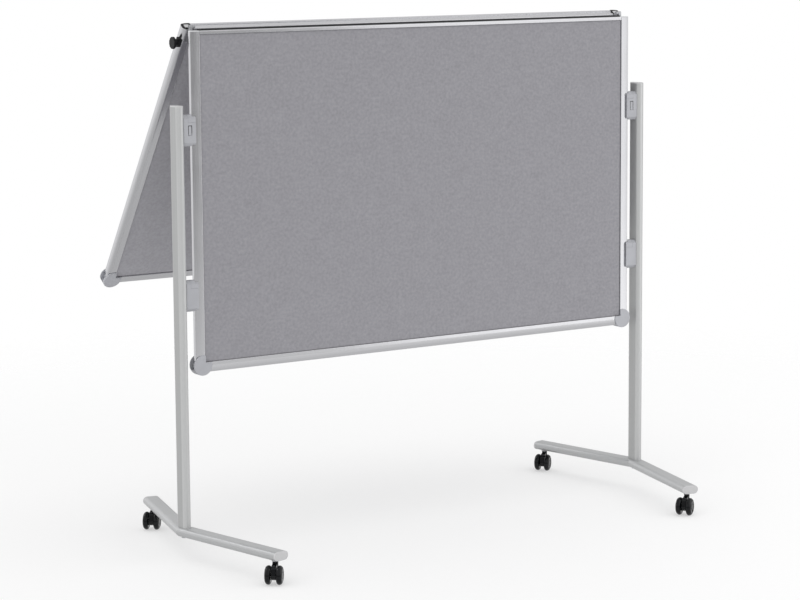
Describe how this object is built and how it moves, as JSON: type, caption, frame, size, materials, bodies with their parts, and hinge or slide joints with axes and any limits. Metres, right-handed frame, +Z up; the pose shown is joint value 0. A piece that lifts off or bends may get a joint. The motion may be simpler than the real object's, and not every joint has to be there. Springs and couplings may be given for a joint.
{
  "type": "mobile folding pin board",
  "caption": "Rolling presentation board: two felt-covered leaves in aluminium frames, hinged at the top so the rear leaf folds, on uprights with V-shaped feet and swivel castors.",
  "frame": {"origin": "on the floor, under the middle of the front leaf, halfway between the two uprights", "axes": "+X along the board's width, +Y from the front leaf to the back, +Z up"},
  "size_m": [1.307, 0.8118, 1.1937],
  "materials": {
    "leaf_aluminium": "satin anodised silver",
    "stand_aluminium": "satin anodised silver",
    "steel": "zinc plated, fine brushed",
    "felt": "fine needle felt, mid grey",
    "core_board": "soft fibreboard",
    "grey_plastic": "moulded, fine satin texture",
    "light_plastic": "moulded, satin",
    "black_plastic": "moulded, fine texture",
    "castor_plastic": "moulded, slightly glossy",
    "black_rubber": "matt"
  },
  "bodies": {
    "stand": {"left_upright": "stand_aluminium", "front_left_foot_arm": "stand_aluminium", "rear_left_foot_arm": "stand_aluminium", "right_upright": "stand_aluminium", "front_right_foot_arm": "stand_aluminium", "rear_right_foot_arm": "stand_aluminium", "upright_base_plugs": "steel", "tube_end_caps": "grey_plastic", "foot_bolts": "steel", "castor_sockets": "light_plastic", "upper_left_bracket": "grey_plastic", "lower_left_bracket": "grey_plastic", "upper_right_bracket": "grey_plastic", "lower_right_bracket": "grey_plastic", "panel_hooks": "grey_plastic", "fixing_screws": "steel", "front_leaf_core": "core_board", "front_leaf_front_felt": "felt", "front_leaf_back_felt": "felt", "front_leaf_left_bar": "leaf_aluminium", "front_leaf_right_bar": "leaf_aluminium", "front_leaf_bottom_bar": "leaf_aluminium", "front_leaf_top_bar": "leaf_aluminium", "front_leaf_corner_caps": "grey_plastic", "front_leaf_end_plugs": "light_plastic", "front_leaf_top_seal": "black_rubber", "front_hinge_plates": "steel", "hinge_pins": "steel"},
    "rear_leaf": {"rear_leaf_core": "core_board", "rear_leaf_inner_felt": "felt", "rear_leaf_outer_felt": "felt", "rear_leaf_left_bar": "leaf_aluminium", "rear_leaf_right_bar": "leaf_aluminium", "rear_leaf_bottom_bar": "leaf_aluminium", "rear_leaf_top_bar": "leaf_aluminium", "rear_leaf_corner_caps": "grey_plastic", "rear_leaf_end_plugs": "black_plastic", "rear_hinge_plates": "steel", "rear_hinge_screws": "steel", "clamp_blocks": "black_plastic"},
    "left_clamp_knob": {"left_clamp_knob": "black_plastic"},
    "right_clamp_knob": {"right_clamp_knob": "black_plastic"},
    "left_release_tab": {"left_release_tab": "grey_plastic"},
    "right_release_tab": {"right_release_tab": "grey_plastic"},
    "front_left_castor": {"front_left_castor_body": "black_plastic", "front_left_castor_axle": "steel"},
    "front_left_castor_left_wheel": {"front_left_castor_left_wheel": "castor_plastic"},
    "front_left_castor_right_wheel": {"front_left_castor_right_wheel": "castor_plastic"},
    "rear_left_castor": {"rear_left_castor_body": "black_plastic", "rear_left_castor_axle": "steel"},
    "rear_left_castor_left_wheel": {"rear_left_castor_left_wheel": "castor_plastic"},
    "rear_left_castor_right_wheel": {"rear_left_castor_right_wheel": "castor_plastic"},
    "front_right_castor": {"front_right_castor_body": "black_plastic", "front_right_castor_axle": "steel"},
    "front_right_castor_left_wheel": {"front_right_castor_left_wheel": "castor_plastic"},
    "front_right_castor_right_wheel": {"front_right_castor_right_wheel": "castor_plastic"},
    "rear_right_castor": {"rear_right_castor_body": "black_plastic", "rear_right_castor_axle": "steel"},
    "rear_right_castor_left_wheel": {"rear_right_castor_left_wheel": "castor_plastic"},
    "rear_right_castor_right_wheel": {"rear_right_castor_right_wheel": "castor_plastic"}
  },
  "joints": [
    {"name": "rear_leaf_hinge", "type": "hinge", "parent": "stand", "child": "rear_leaf", "pos_m": [0, 0.014, 1.1865], "axis": [1, 0, 0], "range_deg": [-35, 145]},
    {"name": "left_clamp_turn", "type": "hinge", "parent": "rear_leaf", "child": "left_clamp_knob", "pos_m": [-0.604, 0.04825, 1.15066], "axis": [-1, 0, 0], "range_deg": [0, 270]},
    {"name": "right_clamp_turn", "type": "hinge", "parent": "rear_leaf", "child": "right_clamp_knob", "pos_m": [0.604, 0.04825, 1.15066], "axis": [1, 0, 0], "range_deg": [0, 270]},
    {"name": "left_tab_press", "type": "hinge", "parent": "stand", "child": "left_release_tab", "pos_m": [-0.6072, -0.0118, 0.9526], "axis": [-1, 0, 0], "range_deg": [0, 5], "stiffness_Nm_per_rad": 0.1, "springref_deg": -5.73},
    {"name": "right_tab_press", "type": "hinge", "parent": "stand", "child": "right_release_tab", "pos_m": [0.6072, -0.0118, 0.9526], "axis": [-1, 0, 0], "range_deg": [0, 5], "stiffness_Nm_per_rad": 0.1, "springref_deg": -5.73},
    {"name": "front_left_swivel", "type": "hinge", "parent": "stand", "child": "front_left_castor", "pos_m": [-0.56473, -0.29336, 0.045], "axis": [0, 0, 1], "continuous": true},
    {"name": "front_left_left_wheel_spin", "type": "hinge", "parent": "front_left_castor", "child": "front_left_castor_left_wheel", "pos_m": [-0.57606, -0.30735, 0.021], "axis": [0.7771, -0.6293, 0], "continuous": true},
    {"name": "front_left_right_wheel_spin", "type": "hinge", "parent": "front_left_castor", "child": "front_left_castor_right_wheel", "pos_m": [-0.57606, -0.30735, 0.021], "axis": [0.7771, -0.6293, 0], "continuous": true},
    {"name": "rear_left_swivel", "type": "hinge", "parent": "stand", "child": "rear_left_castor", "pos_m": [-0.56473, 0.29336, 0.045], "axis": [0, 0, 1], "continuous": true},
    {"name": "rear_left_left_wheel_spin", "type": "hinge", "parent": "rear_left_castor", "child": "rear_left_castor_left_wheel", "pos_m": [-0.57606, 0.27937, 0.021], "axis": [0.7771, -0.6293, 0], "continuous": true},
    {"name": "rear_left_right_wheel_spin", "type": "hinge", "parent": "rear_left_castor", "child": "rear_left_castor_right_wheel", "pos_m": [-0.57606, 0.27937, 0.021], "axis": [0.7771, -0.6293, 0], "continuous": true},
    {"name": "front_right_swivel", "type": "hinge", "parent": "stand", "child": "front_right_castor", "pos_m": [0.56473, -0.29336, 0.045], "axis": [0, 0, 1], "continuous": true},
    {"name": "front_right_left_wheel_spin", "type": "hinge", "parent": "front_right_castor", "child": "front_right_castor_left_wheel", "pos_m": [0.55017, -0.30394, 0.021], "axis": [0.5878, -0.809, 0], "continuous": true},
    {"name": "front_right_right_wheel_spin", "type": "hinge", "parent": "front_right_castor", "child": "front_right_castor_right_wheel", "pos_m": [0.55017, -0.30394, 0.021], "axis": [0.5878, -0.809, 0], "continuous": true},
    {"name": "rear_right_swivel", "type": "hinge", "parent": "stand", "child": "rear_right_castor", "pos_m": [0.56473, 0.29336, 0.045], "axis": [0, 0, 1], "continuous": true},
    {"name": "rear_right_left_wheel_spin", "type": "hinge", "parent": "rear_right_castor", "child": "rear_right_castor_left_wheel", "pos_m": [0.55094, 0.28179, 0.021], "axis": [0.6428, -0.766, 0], "continuous": true},
    {"name": "rear_right_right_wheel_spin", "type": "hinge", "parent": "rear_right_castor", "child": "rear_right_castor_right_wheel", "pos_m": [0.55094, 0.28179, 0.021], "axis": [0.6428, -0.766, 0], "continuous": true}
  ]
}
